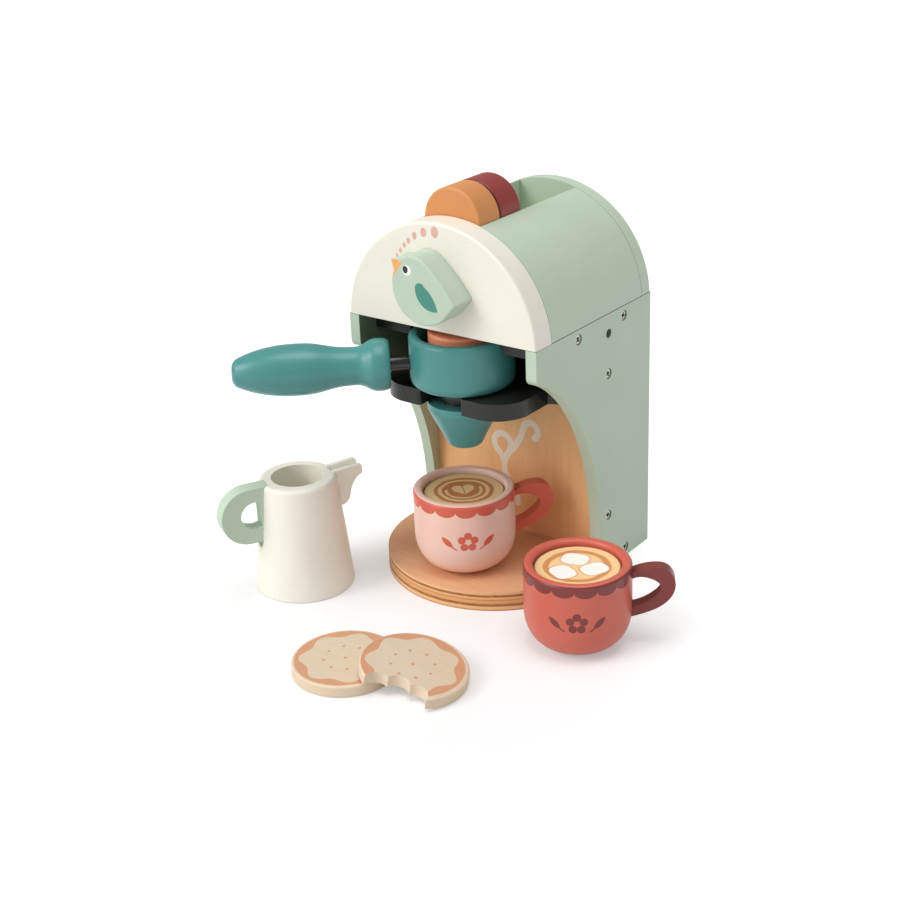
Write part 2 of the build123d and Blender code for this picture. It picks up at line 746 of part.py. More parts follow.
def jug_ear():
    """The D-shaped ear on the side away from the spout."""
    root = jug_rim_radius - seat_depth
    ring_x = jug_ear_reach - jug_ear_radius
    ring_z = jug_height - jug_ear_radius
    hole_x = ring_x - jug_ear_hole_inset
    bar_x = (root + jug_wall_radius(ring_z)) / 2 + seat_depth
    outline = Pos(ring_x, ring_z) * Circle(jug_ear_radius)
    outline += Pos((root + ring_x) / 2, ring_z) * Rectangle(ring_x - root, 2 * jug_ear_radius)
    outline -= Pos(0, ring_z) * Rectangle(2 * root, 4 * jug_ear_radius)
    hole = Pos(hole_x, ring_z) * Circle(jug_ear_hole_radius)
    hole -= Pos(0, ring_z) * Rectangle(2 * bar_x, 4 * jug_ear_radius)
    return Rot(0, 0, 180) * extrude(Plane.XZ * (outline - hole), amount=jug_ear_thickness / 2,
                                    both=True)


def jug_body():
    """The turned jug, with its bore and the grooves that seat spout and ear."""
    bore = rod_along(Plane(origin=(0, 0, jug_height - jug_bore_depth)), jug_bore_radius,
                     jug_bore_depth)
    root = jug_rim_radius - seat_depth
    spout_foot_z = jug_height - spout_height
    ear_foot_z = jug_height - 2 * jug_ear_radius
    spout_seat = block((root, jug_foot_radius), (-spout_thickness / 2, spout_thickness / 2),
                       (spout_foot_z, jug_height))
    ear_seat = block((-jug_foot_radius, -root), (-jug_ear_thickness / 2, jug_ear_thickness / 2),
                     (ear_foot_z, jug_height))
    cutter_runout = rod_along(Plane(origin=(-root, 0, ear_foot_z), z_dir=(-1, 0, 0)),
                              jug_ear_thickness / 2, jug_foot_radius - root)
    return jug_cone() - bore - spout_seat - ear_seat - cutter_runout


# ---- biscuits ----------------------------------------------------------------------------------------
def biscuit():
    """A round biscuit with softened rims."""
    disc = rod_along(Plane.XY, biscuit_radius, biscuit_thickness)
    return fillet(disc.edges().filter_by(GeomType.CIRCLE), biscuit_edge_radius)


def bite():
    """Three scallops and the crumbs outside them, as one plan shape."""
    centres = [on_circle((0, 0), reach, angle)
               for reach, angle in zip(bite_reaches, bite_angles)]
    outside = make_face(Polyline(centres + [(2 * x, 2 * y) for x, y in reversed(centres)],
                                 close=True))
    return outside + [Pos(x, y) * Circle(bite_radius) for x, y in centres]


def bitten_biscuit():
    """The bitten biscuit, one edge on the floor and the other on the whole biscuit."""
    across = bitten_biscuit_offset[0] - whole_biscuit_offset[0]
    back = bitten_biscuit_offset[1] - whole_biscuit_offset[1]
    direction = degrees(atan2(back, across))
    overlap = hypot(across, back) - biscuit_radius
    lean = degrees(asin((biscuit_thickness + fit_gap) / (overlap + biscuit_radius)))
    flat = biscuit() - extrude(bite(), amount=biscuit_thickness)
    tilted = Rot(0, 0, direction) * Rot(0, lean, 0) * Rot(0, 0, -direction) * flat
    return set_down(tilted, bitten_biscuit_offset, -tilted.bounding_box().min.Z, 0)


# ---- every sub-part ------------------------------------------------------------------------------------
def group(solids):
    """Several separate solids kept in one node."""
    return Compound(children=solids)


def all_nodes():
    """Each named piece in the machine's own frame."""
    nodes = {
        "tray_base": tray_base(),
        "side_panel_left": side_panel(-1),
        "side_panel_right": side_panel(1),
        "splash_board": splash_board(),
        "head_base": head_base(),
        "fascia": fascia(),
        "head_shell_left": head_shell(-1),
        "head_shell_right": head_shell(1),
        "rear_arch": rear_arch(),
        "slot_cheek_left": slot_cheek(-1),
        "slot_cheek_right": slot_cheek(1),
        "capsule_rail": capsule_rail(),
        "side_screws": group(side_screw_row(-1) + side_screw_row(1)),
        "fork_screws": group(fork_screw_row()),
        "head_dowels": group(head_dowel_rows()),
        "filter_fork": filter_fork(),
        "bird_knob": bird_knob(),
        "knob_axle": knob_axle(),
        "release_gate": release_gate(),
        "spout_cone": spout_cone(),
        "filter_pin": filter_pin(),
        "filter_bowl": filter_bowl(),
        "handle_rod": handle_rod(),
        "filter_handle": filter_handle(),
        "capsule_orange": standing_capsule(0),
        "capsule_maroon": standing_capsule(1),
        "capsule_coral": lying_capsule(),
        "biscuit_whole": set_down(biscuit(), whole_biscuit_offset, 0, 0),
        "biscuit_bitten": bitten_biscuit(),
    }
    for colour, offset, floor_z, turn in (
        ("pink", pink_cup_offset, base_thickness, pink_cup_angle),
        ("red", red_cup_offset, 0, red_cup_angle),
    ):
        nodes[f"{colour}_cup_body"] = set_down(cup_body(), offset, floor_z, turn)
        nodes[f"{colour}_cup_ear"] = set_down(cup_ear(), offset, floor_z, turn)
        nodes[f"{colour}_cup_drink"] = set_down(drink_disc(), offset, floor_z, turn)
    for name, shape in (("body", jug_body()), ("spout", jug_spout()), ("ear", jug_ear())):
        nodes[f"jug_{name}"] = set_down(shape, jug_offset, 0, jug_angle)
    return nodes


os.makedirs("parts", exist_ok=True)
for node_name, node_shape in all_nodes().items():
    export_step(node_shape, f"parts/{node_name}.step")
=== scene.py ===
import bpy
import bmesh
from functools import reduce
from math import atan2, cos, hypot, pi, radians, sin, sqrt, tau
from mathutils import Matrix, Vector


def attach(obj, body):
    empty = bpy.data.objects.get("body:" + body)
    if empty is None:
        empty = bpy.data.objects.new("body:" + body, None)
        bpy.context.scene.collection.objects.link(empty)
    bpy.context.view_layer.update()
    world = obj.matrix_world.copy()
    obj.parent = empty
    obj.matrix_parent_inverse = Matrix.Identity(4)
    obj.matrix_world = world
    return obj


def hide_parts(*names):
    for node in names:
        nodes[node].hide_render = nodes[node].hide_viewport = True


# Finishes, screws, eased edges, studio and camera for a wooden toy espresso machine with its
# play pieces. Sizes in the finishes are millimetres, places in meshes are metres.

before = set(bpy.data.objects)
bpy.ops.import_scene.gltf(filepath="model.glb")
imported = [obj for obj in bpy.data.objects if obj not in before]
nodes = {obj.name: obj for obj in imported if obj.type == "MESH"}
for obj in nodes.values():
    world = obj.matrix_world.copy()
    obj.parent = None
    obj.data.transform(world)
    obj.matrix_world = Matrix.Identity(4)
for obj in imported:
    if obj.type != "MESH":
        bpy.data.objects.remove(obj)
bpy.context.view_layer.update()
MM = 0.001

# ---- places on the toy, in millimetres ---------------------------------------------------------
HALF_WIDTH = 65.0
PANEL_INSIDE = 58.0
BASE_TOP = 12.0
SEAM = 163.0
FASCIA_FACE = -60.0
KNOB_FACE = -76.0
SHELL_FRONT = -45.0
SHELL_BACK = 50.0
SPLASH_FACE = 9.0
FORK_FOOT = 116.5

SCREW_PLACES = ((-18.0, 157.0), (30.0, 157.0), (13.5, 126.5), (13.5, 36.0), (15.5, 6.0),
                (33.5, 6.0))
SCREW_HEAD = 2.6
SCREW_SHANK = 1.6
SCREW_LENGTH = 22.0
SCREW_SINK = 0.65
RECESS_ARM = 1.75
RECESS_HALF = 0.44
RECESS_DEPTH = 1.3
RECESS_TAPER = 0.55
COUNTERSINK = 3.2
FORK_SCREWS = (-18.0, 0.0, 18.0)
FORK_SCREW_HEADS = (18.0, 121.5)
PILOT_HOLE = (13.5, 151.0)
PILOT_REACH = 2.0
PILOT_FLARE = 1.5
PILOT_MOUTH = 2.75

FILTER_Y = -39.5
NECK_REACH = 17.0
NECK_FOOT = 116.25
CAPSULE_JOINT = -24.8
CAPSULE_MIDDLE = 221.8
CAPSULE_RADIUS = 19.2
CUP_HEIGHT = 49.5
CUP_RADIUS = 30.1
SCALLOPS = 15
SCALLOP_BAND = 3.6
SCALLOP_DROP = 3.6
FLOWER_MIDDLE = (0.0, 27.0)
DRINK_TOP = 45.9
DRINK_RIM = 23.2
PINK_CUP = (-0.5, -42.4)
PINK_CUP_TURN = 47.0
RED_CUP = (94.7, -67.2)
WHOLE_BISCUIT = (5.5, -162.5)
BITTEN_BISCUIT = (46.0, -154.0)
BITTEN_LEAN = 0.984
CRUST_INSIDE = 24.0
CRUST_OUTSIDE = 28.2
CRUST_WAVES = 7
PRICKS = 8
PRICK_RING = 12.0


# ---- colours -----------------------------------------------------------------------------------
def paint(red, green, blue):
    """A colour as seen on screen, 0 to 255, as the values that a shader takes."""
    return tuple(linear(value / 255) for value in (red, green, blue)) + (1.0,)


def linear(value):
    """One screen value from 0 to 1 as light."""
    return value / 12.92 if value <= 0.04045 else ((value + 0.055) / 1.055) ** 2.4


def shade(colour, share):
    """A colour made darker or lighter by a share."""
    return tuple(min(1.0, value * share) for value in colour[:3]) + (1.0,)


def halfway(first, second):
    """The colour between two others."""
    return tuple((one + other) / 2 for one, other in zip(first, second))


SAGE = paint(192, 210, 188)
BIRD_SAGE = paint(189, 206, 187)
CREAM = paint(246, 242, 228)
TEAL = paint(72, 142, 138)
CHARCOAL = paint(37, 37, 35)
# Painted shade for the next three: on the side panels' inner faces over the fork, in the joints and
# screw sinkings, and in the pilot hole's mouth.
INNER_SHADE = paint(118, 134, 106)
JOINT_SHADE = paint(74, 84, 72)
HOLE_SHADE = paint(104, 122, 100)
# Painted shade round the edge of each drink disc, where the gap to the cup's wall is.
BORE_SHADE = paint(84, 52, 36)
# Painted shade for the line where the two capsules in the slot meet.
CAPSULE_SHADE = paint(70, 30, 26)
ORANGE = paint(215, 144, 83)
MAROON = paint(146, 50, 42)
CORAL = paint(214, 98, 78)
# Painted light: the coral of the capsule in the bowl, lighter than the ears' coral to make up for
# the shade under the head.
LIT_CORAL = paint(255, 158, 120)
PINK = paint(242, 202, 186)
BRICK = paint(207, 100, 82)
DARK_RED = paint(127, 50, 46)
BIRCH = paint(255, 206, 148)
MAPLE = paint(230, 208, 182)
TOAST = paint(208, 146, 108)
BISCUIT_TOP_GREY = paint(120, 128, 118)
BLUSH = paint(226, 176, 160)
LEAF_TEAL = paint(64, 138, 122)
BEAK = paint(236, 172, 98)
EYE_WHITE = paint(250, 248, 240)
EYE_BLACK = paint(34, 34, 38)
STEAM = paint(252, 242, 224)
COFFEE = paint(186, 120, 70)
FOAM = paint(232, 198, 148)
CREMA = paint(248, 206, 152)
CREMA_RING = paint(212, 146, 90)
SUGAR = paint(250, 247, 240)
SUGAR_SHADE = paint(206, 146, 96)
TRAY_FACE = paint(234, 180, 137)
TRAY_GRAIN = paint(220, 163, 120)
BIRCH_GRAIN = paint(246, 190, 130)
DOWEL_GRAIN = paint(216, 160, 112)
DISC_GRAIN = paint(222, 194, 156)
BISCUIT_GRAIN = paint(228, 202, 166)
ZINC = paint(206, 205, 200)
ZINC_SPOTS = paint(168, 168, 164)


# ---- shader sums -------------------------------------------------------------------------------
class Value:
    """A value in a finish. Sums written with it add the maths nodes."""

    def __init__(self, finish, socket):
        self.finish = finish
        self.socket = socket

    def maths(self, operation, *terms):
        """A maths node over values and numbers."""
        return self.finish.node("ShaderNodeMath", {"operation": operation},
                                dict(enumerate(terms)))

    def through(self, operation, *others):
        """This value through a maths node, with the others after it."""
        return self.maths(operation, self, *others)

    def other(self, output):
        """Another output of the same node."""
        return Value(self.finish, self.socket.node.outputs[output])

    def __add__(self, term):
        return self.maths("ADD", self, term)

    def __radd__(self, term):
        return self.maths("ADD", term, self)

    def __sub__(self, term):
        return self.maths("SUBTRACT", self, term)

    def __rsub__(self, term):
        return self.maths("SUBTRACT", term, self)

    def __mul__(self, term):
        return self.maths("MULTIPLY", self, term)

    def __rmul__(self, term):
        return self.maths("MULTIPLY", term, self)

    def __truediv__(self, term):
        return self.maths("DIVIDE", self, term)

    def __rtruediv__(self, term):
        return self.maths("DIVIDE", term, self)

    def __pow__(self, term):
        return self.maths("POWER", self, term)

    def __rpow__(self, term):
        return self.maths("POWER", term, self)

    def __neg__(self):
        return self.maths("MULTIPLY", self, -1.0)

    def __abs__(self):
        return self.maths("ABSOLUTE", self)


def least(first, second):
    """The smaller of two values: the shape that covers both shapes."""
    return first.through("MINIMUM", second)


def most(first, second):
    """The larger of two values: the shape that both shapes share."""
    return first.through("MAXIMUM", second)


def union(shapes):
    """One shape that covers all of several shapes."""
    return reduce(least, shapes)


def reach(across, up):
    """Distance from the middle of two measures."""
    return (across * across + up * up).through("SQRT")


def spun(across, up, angle):
    """Two measures read along axes that are turned by radians."""
    return across * cos(angle) + up * sin(angle), up * cos(angle) - across * sin(angle)


class Finish:
    """A material under construction."""

    def __init__(self, name):
        self.material = bpy.data.materials.new(name)
        self.material.use_nodes = True
        self.nodes = self.material.node_tree.nodes
        self.links = self.material.node_tree.links
        self.nodes.clear()

    def node(self, kind, settings=None, sockets=None, out=0):
        """One node: its settings first, then the values or links of its sockets."""
        made = self.nodes.new(kind)
        for key, value in (settings or {}).items():
            if key == "stops":
                ramp = made.color_ramp
                while len(ramp.elements) < len(value):
                    ramp.elements.new(0.5)
                for stop, (position, colour) in zip(ramp.elements, value):
                    stop.position = position
                    stop.color = colour
            else:
                setattr(made, key, value)
        for key, value in (sockets or {}).items():
            if isinstance(value, Value):
                self.links.new(value.socket, made.inputs[key])
            else:
                made.inputs[key].default_value = value
        return Value(self, made.outputs[out]) if made.outputs else None

    def place(self):
        """Place on the piece, in millimetres, as a vector."""
        coordinates = self.node("ShaderNodeTexCoord", out="Object")
        return self.stretch(coordinates, (1000, 1000, 1000))

    def stretch(self, vector, factors):
        """A vector with each axis multiplied."""
        return self.node("ShaderNodeVectorMath", {"operation": "MULTIPLY"},
                         {0: vector, 1: factors})

    def shift(self, vector, amounts):
        """A vector moved."""
        return self.node("ShaderNodeVectorMath", {"operation": "ADD"}, {0: vector, 1: amounts})

    def turn(self, vector, centre, angle):
        """A vector seen from a piece's own middle, turned about Z by degrees."""
        moved = self.shift(vector, (-centre[0], -centre[1], 0))
        return self.node("ShaderNodeVectorRotate", {"rotation_type": "Z_AXIS"},
                         {"Vector": moved, "Angle": radians(-angle)})

    def split(self, vector):
        """The three parts of a vector."""
        first = self.node("ShaderNodeSeparateXYZ", sockets={0: vector})
        return first, first.other(1), first.other(2)

    def noise(self, vector, size, detail=2.0, rough=0.5, warp=0.0):
        """Cloudy noise, about 0.5 in the middle, with lumps of a size in millimetres."""
        return self.node("ShaderNodeTexNoise", {"noise_dimensions": "3D"},
                         {"Vector": vector, "Scale": 1 / size, "Detail": detail,
                          "Roughness": rough, "Distortion": warp})

    def edge(self, distance, soft=0.12):
        """1 inside a shape and 0 outside it, from the distance to its line."""
        return self.node("ShaderNodeMapRange", {"interpolation_type": "SMOOTHSTEP"},
                         {"Value": distance, "From Min": -soft, "From Max": soft,
                          "To Min": 1.0, "To Max": 0.0})

    def blend(self, share, below, above):
        """Two colours, mixed by a share of the second."""
        return self.node("ShaderNodeMix", {"data_type": "RGBA"}, {0: share, 6: below, 7: above},
                         out=2)

    def ramp(self, value, stops):
        """A colour from a row of stops."""
        return self.node("ShaderNodeValToRGB", {"stops": stops}, {0: value})

    def bump(self, height, depth, strength=1.0):
        """A relief of a depth in millimetres."""
        return self.node("ShaderNodeBump", sockets={"Height": height, "Distance": depth * MM,
                                                    "Strength": strength})

    def surface(self, **sockets):
        """The finished surface."""
        names = {key.replace("_", " "): value for key, value in sockets.items()}
        shader = self.node("ShaderNodeBsdfPrincipled", sockets=names)
        self.node("ShaderNodeOutputMaterial", sockets={"Surface": shader})
        return self.material


# ---- printed shapes, as distances to their lines in millimetres --------------------------------
def oval(across, up, centre, width, height):
    """An oval of a width and height."""
    side, rise = across - centre[0], up - centre[1]
    return (reach(side / (width / 2), rise / (height / 2)) - 1) * (min(width, height) / 2)


def disc(across, up, centre, radius):
    """A round area."""
    return reach(across - centre[0], up - centre[1]) - radius


def arc(across, up, centre, radius, first, last, half):
    """A curved stroke with round ends, from one angle to another, of half a width."""
    middle, spread = radians((first + last) / 2), radians((last - first) / 2)
    along, off = spun(across - centre[0], up - centre[1], middle)
    off = abs(off)
    within = (along * sin(spread)).through("GREATER_THAN", off * cos(spread))
    bow = abs(reach(along, off) - radius)
    end = reach(along - radius * cos(spread), off - radius * sin(spread))
    return within * bow + (1 - within) * end - half


def leaf(across, up, foot, tip, belly):
    """A leaf from its foot to its tip, with a belly as a share of its length."""
    length = hypot(tip[0] - foot[0], tip[1] - foot[1])
    angle = atan2(tip[1] - foot[1], tip[0] - foot[0])
    along, off = spun(across - foot[0], up - foot[1], angle)
    along = along - length / 2
    half = belly * length / 2
    radius = ((length / 2) ** 2 + half**2) / (2 * half)
    return most(reach(along, off + (radius - half)) - radius,
                reach(along, off - (radius - half)) - radius)


def heart(across, up, centre, size):
    """A heart from two round lobes over a square set on its corner."""
    side, rise = abs(across - centre[0]), up - centre[1]
    lobe = reach(side - size * 0.25, rise - size * 0.18) - size * 0.27
    point = most((side + abs(rise + size * 0.06)) * sqrt(0.5) - size * 0.35, rise - size * 0.2)
    return least(lobe, point)


def flower(across, up, centre, size):
    """Five round petals about a middle."""
    angles = [radians(90 + 72 * petal) for petal in range(5)]
    return union(disc(across, up, (centre[0] + size * 0.3 * cos(angle),
                                   centre[1] + size * 0.3 * sin(angle)), size * 0.18)
                 for angle in angles)


# ---- finishes ----------------------------------------------------------------------------------
GRAIN = {"X": (0.05, 1.0, 1.0), "Y": (1.0, 0.05, 1.0), "Z": (1.0, 1.0, 0.05)}


def painted_wood(name, colour, grain="Z", gloss=0.44, prints=None, shine=0.5):
    """Satin paint over sanded wood: a slow drift of tone, the grain's ghost and a fine peel.
    A print takes the finish, the place and the colour so far, and gives the new colour and a
    mask of its ink."""
    finish = Finish(name)
    place = finish.place()
    drift = finish.noise(place, 38.0, 3.0)
    peel = finish.noise(place, 0.7, 2.0)
    ghost = finish.noise(finish.stretch(place, GRAIN[grain]), 1.3, 4.0, 0.62)
    tone = (drift - 0.5) * 1.1 + (ghost - 0.5) * 0.4 + 0.5
    skin = finish.blend(most(tone, 0.0), shade(colour, 0.93), shade(colour, 1.06))
    rough = gloss + (peel - 0.5) * 0.12 + (drift - 0.5) * 0.1
    if prints:
        skin, inked = prints(finish, place, skin)
        rough = rough - inked * 0.05
    relief = finish.bump(peel * 0.35 + ghost * 0.65, 0.045, 0.6)
    return finish.surface(Base_Color=skin, Roughness=rough, Normal=relief,
                          Specular_IOR_Level=shine)


def wood_figure(finish, place, grain, light, dark):
    """Growth lines, pores and a slow drift of tone, as a colour, with a relief."""
    long_place = finish.stretch(place, GRAIN[grain])
    sway = finish.noise(finish.stretch(place, tuple(0.35 + 0.65 * value for value in GRAIN[grain])),
                        46.0, 2.0)
    lines = finish.noise(long_place, 2.6, 5.0, 0.62, 0.8)
    pores = finish.noise(finish.stretch(place, tuple(value**0.62 for value in GRAIN[grain])),
                         0.36, 2.0, 0.5)
    bands = lines * 0.62 + sway * 0.5 - 0.06
    colour = finish.ramp(bands, [(0.3, dark), (0.47, halfway(dark, light)),
                                 (0.6, light), (0.74, shade(light, 1.05))])
    pitted = finish.node("ShaderNodeMapRange", None,
                         {"Value": pores, "From Min": 0.58, "From Max": 0.72})
    colour = finish.blend(pitted * 0.4, colour, shade(dark, 0.72))
    return colour, lines * 0.6 - pitted * 0.5


def lacquered_wood(name, light, dark, grain="Z", gloss=0.46, prints=None):
    """Pale wood under a thin clear lacquer."""
    finish = Finish(name)
    place = finish.place()
    colour, relief = wood_figure(finish, place, grain, light, dark)
    rough = gloss + (finish.noise(place, 2.2, 2.0) - 0.5) * 0.14
    if prints:
        colour, inked = prints(finish, place, colour)
        rough = rough + inked * 0.04
    return finish.surface(Base_Color=colour, Roughness=rough,
                          Normal=finish.bump(relief, 0.05, 0.5))


def tray_plywood():
    """Birch plywood: a flat-cut face and, round its edge, plies of turning grain."""
    finish = Finish("tray_plywood")
    place = finish.place()
    colour, relief = wood_figure(finish, place, "X", TRAY_FACE, TRAY_GRAIN)
    depth = (BASE_TOP - finish.split(place)[2]) / BASE_TOP
    wander = (finish.noise(finish.stretch(place, (1, 1, 0.2)), 16.0, 3.0) - 0.5) * 0.05
    pale, tan = paint(250, 200, 146), paint(232, 172, 112)
    brown, dusky = paint(190, 126, 68), paint(150, 90, 40)
    plies = finish.ramp(depth + wander, [
        (0.0, pale), (0.12, pale), (0.155, dusky), (0.25, dusky), (0.29, pale), (0.38, tan),
        (0.42, brown), (0.46, tan), (0.6, tan), (0.64, dusky), (0.745, dusky), (0.785, pale),
        (0.91, pale), (0.96, brown),
    ])
    fibres = finish.noise(finish.stretch(place, (1, 1, 2.4)), 1.1, 4.0, 0.68)
    plies = finish.blend(fibres * 0.3, plies, shade(dusky, 1.5))
    torn = finish.noise(finish.stretch(place, (1, 1, 6.0)), 3.4, 2.0, 0.6)
    plies = finish.blend(most(torn - 0.42, 0.0) * 1.6, plies, tan)
    facing = finish.split(finish.node("ShaderNodeTexCoord", out="Normal"))[2]
    rim = finish.edge(abs(facing) - 0.72, 0.08)
    colour = finish.blend(rim, colour, plies)
    rough = 0.46 + rim * 0.12 + (fibres - 0.5) * 0.1
    height_map = relief * (1 - rim) + fibres * rim
    return finish.surface(Base_Color=colour, Roughness=rough,
                          Normal=finish.bump(height_map, 0.06, 0.6))


def scallops(finish, place, skin, centre, foot, phase, colour):
    """A band of scallops under a cup's rim."""
    own = finish.turn(place, centre, phase)
    across, back, height = finish.split(own)
    step = (back.through("ARCTAN2", across) * (SCALLOPS / tau)).through("WRAP", 0.5, -0.5)
    bow = most(1 - (step * 2) ** 2, 0.0).through("SQRT")
    drop = SCALLOP_BAND + bow * SCALLOP_DROP
    depth = (foot + CUP_HEIGHT) - height
    shape = most(most(depth - drop, 0.35 - depth), CUP_RADIUS - 0.8 - reach(across, back))
    mask = finish.edge(shape, 0.14)
    return finish.blend(mask, skin, colour), mask


def cup_print(centre, foot, phase, motif_angle, band, motif):
    """Scallops and, on the side that shows, a small flower between two leaves."""
    def prints(finish, place, skin):
        skin, inked = scallops(finish, place, skin, centre, foot, phase, band)
        own = finish.turn(place, centre, motif_angle)
        out, side, height = finish.split(own)
        along = side.through("ARCTAN2", out) * CUP_RADIUS
        up = height - foot
        petals = flower(along, up, FLOWER_MIDDLE, 13.0)
        eye = disc(along, up, FLOWER_MIDDLE, 1.7)
        leaves = least(leaf(along, up, (9.0, 23.5), (16.0, 29.5), 0.4),
                       leaf(along, up, (-9.0, 23.5), (-16.0, 29.5), 0.4))
        stem = arc(along, up, (0.0, 36.0), 15.6, -138.0, -42.0, 0.42)
        stem = most(stem, 6.6 - abs(along))
        shape = least(most(petals, -eye), least(leaves, stem))
        shape = most(most(shape, CUP_RADIUS - 2.6 - reach(out, side)), -out)
        mask = finish.edge(shape, 0.14)
        return finish.blend(mask, skin, motif), most(inked, mask)
    return prints


def bird_print(finish, place, skin):
    """The bird's beak, which is what lies beyond two lines, its eye and its folded wing."""
    across, back, up = finish.split(place)
    front = finish.edge(back - KNOB_FACE - 0.4, 0.2)
    beak = most((across + 15.6) * 0.797 - (up - 198.8) * 0.604,
                (up - 206.9) + (across + 18.9) * 0.147)
    beak = finish.edge(beak, 0.14) * finish.edge(back - KNOB_FACE - 2.0, 0.2)
    skin = finish.blend(beak, skin, BEAK)
    white = finish.edge(disc(across, up, (-7.6, 201.6), 2.95), 0.12) * front
    skin = finish.blend(white, skin, EYE_WHITE)
    eye = finish.edge(oval(across, up, (-8.5, 201.9), 3.5, 4.3), 0.1) * front
    skin = finish.blend(eye, skin, EYE_BLACK)
    wing = most(disc(across, up, (9.1, 192.1), 11.5), disc(across, up, (-7.4, 177.3), 20.2))
    wing = finish.edge(least(most(wing, up - 193.9), disc(across, up, (0.95, 192.4), 3.35)),
                       0.12) * front
    skin = finish.blend(wing, skin, LEAF_TEAL)
    return skin, most(beak, most(white, wing))


# The middle, width and height of each dot, from the largest to the smallest.
DIAL_DOTS = (((0.0, 219.8), 5.0, 6.5), ((-7.7, 218.7), 4.0, 5.2), ((-14.1, 215.9), 3.1, 4.4),
             ((-18.5, 212.5), 2.7, 3.6), ((-21.5, 209.7), 2.2, 3.2), ((-24.4, 206.2), 2.0, 2.8),
             ((-27.1, 203.2), 1.6, 2.2))


def dial_dots(finish, place, skin):
    """Seven dots that swell from left to right, over the knob."""
    across, back, up = finish.split(place)
    front = finish.edge(back - FASCIA_FACE - 1.0, 0.3)
    dots = union(oval(across, up, *dot) for dot in DIAL_DOTS)
    mask = finish.edge(dots, 0.14) * front
    return finish.blend(mask, skin, BLUSH), mask


# The centre, radius, first and last angle of each stroke of the ribbon.
STEAM_STROKES = (((-14.0, 30.0), 16.0, 0.0, 45.0), ((8.6, 52.6), 16.0, 135.0, 225.0),
                 ((-31.0, 92.2), 40.0, -45.0, -15.0), ((12.6, 80.5), 5.2, -60.0, 165.0),
                 ((-21.4, 52.6), 14.0, 0.0, 50.0), ((-8.4, 68.0), 6.2, -30.0, 230.0))
STEAM_HALF = 2.15


def steam_print(finish, place, colour):
    """A curling ribbon of steam in cream, and the board near-black behind the fork, from just over
    its foot up.
    """
    across, back, up = finish.split(place)
    front = finish.edge(back - SPLASH_FACE - 0.6, 0.3)
    ribbon = union(arc(across, up, *stroke, STEAM_HALF) for stroke in STEAM_STROKES)
    mask = finish.edge(ribbon, 0.2) * front
    colour = finish.blend(mask * 0.94, colour, STEAM)
    dark = finish.edge(FORK_FOOT + 1.0 - up, 0.2)
    return finish.blend(dark, colour, shade(CHARCOAL, 0.3)), mask


def panel_print(finish, place, skin):
    """Painted shade on a side panel: a dark line in the joint along its top, and darker colour in
    its screws' sinkings, in its pilot hole's mouth and on its inner face over the fork."""
    across, back, up = finish.split(place)
    sinkings = union(disc(back, up, screw, COUNTERSINK) for screw in SCREW_PLACES)
    skin = finish.blend(finish.edge(sinkings, 0.12) * 0.8, skin, JOINT_SHADE)
    mouth = finish.edge(disc(back, up, PILOT_HOLE, PILOT_MOUTH), 0.12)
    skin = finish.blend(mouth, skin, HOLE_SHADE)
    inner = most(most(abs(across) - PANEL_INSIDE - 0.3, FORK_FOOT + 1.5 - up), back - SPLASH_FACE)
    skin = finish.blend(finish.edge(inner, 0.2), skin, INNER_SHADE)
    joint = finish.edge(abs(up - SEAM) - 0.28, 0.1)
    return finish.blend(joint * 0.85, skin, JOINT_SHADE), joint


def shell_print(finish, place, skin):
    """Painted shade: dark lines in the joints where the head's boards meet each other and the side
    panels. The line behind is fainter, and the arch's face in the slot stays free of it."""
    back, up = finish.split(place)[1:]
    facing = finish.split(finish.node("ShaderNodeTexCoord", out="Normal"))[1]
    joint = finish.edge(least(abs(back - SHELL_FRONT) - 0.3, abs(up - SEAM) - 0.28), 0.1)
    rear = finish.edge(most(abs(back - SHELL_BACK) - 0.24, abs(facing) - 0.9), 0.1)
    joint = most(joint, rear * 0.55)
    return finish.blend(joint * 0.85, skin, JOINT_SHADE), joint


def capsule_print(finish, place, skin):
    """Painted shade: a dark line where the two capsules in the slot meet."""
    across, back, up = finish.split(place)
    flat = CAPSULE_RADIUS - 1.4 - reach(across, up - CAPSULE_MIDDLE)
    mask = finish.edge(most(abs(back - CAPSULE_JOINT) - 0.8, flat), 0.12)
    return finish.blend(mask * 0.7, skin, CAPSULE_SHADE), mask


def neck_print(finish, place, skin):
    """Charcoal paint on the portafilter's neck, over the cone's shoulder."""
    across, back, up = finish.split(place)
    neck = most(reach(across, back - FILTER_Y) - NECK_REACH, NECK_FOOT - up)
    mask = finish.edge(neck, 0.1)
    return finish.blend(mask, skin, CHARCOAL), mask


def coffee_print(finish, place, colour):
    """Foam with a poured leaf on dark coffee."""
    own = finish.turn(place, PINK_CUP, PINK_CUP_TURN)
    across, back, up = finish.split(own)
    top = finish.edge(BASE_TOP + DRINK_TOP - 0.3 - up, 0.3)
    radius = reach(across, back)
    swirl = (finish.noise(place, 9.0, 2.0) - 0.5) * 2.4
    foam = finish.edge(abs(radius + swirl - 21.0) - 3.2, 0.25)
    rings = finish.edge(abs(radius + swirl - 14.2) - 1.1, 0.25)
    rings_two = finish.edge(abs(radius + swirl - 10.4) - 0.8, 0.25) * finish.edge(back - 3.0, 0.5)
    cap = finish.edge(heart(across, back, (0.0, 1.5), 13.0), 0.2)
    vein = finish.edge(most(abs(across) - 0.35, abs(back + 1.0) - 7.0), 0.2)
    milk = most(most(foam, rings), most(rings_two, cap)) * (1 - vein)
    drink = finish.blend(milk, COFFEE, FOAM)
    # Painted shade: a dark ring round the disc's edge, for the gap to the cup's wall.
    drink = finish.blend(finish.edge(DRINK_RIM - radius, 0.3) * 0.8, drink, BORE_SHADE)
    return finish.blend(top, colour, drink), top


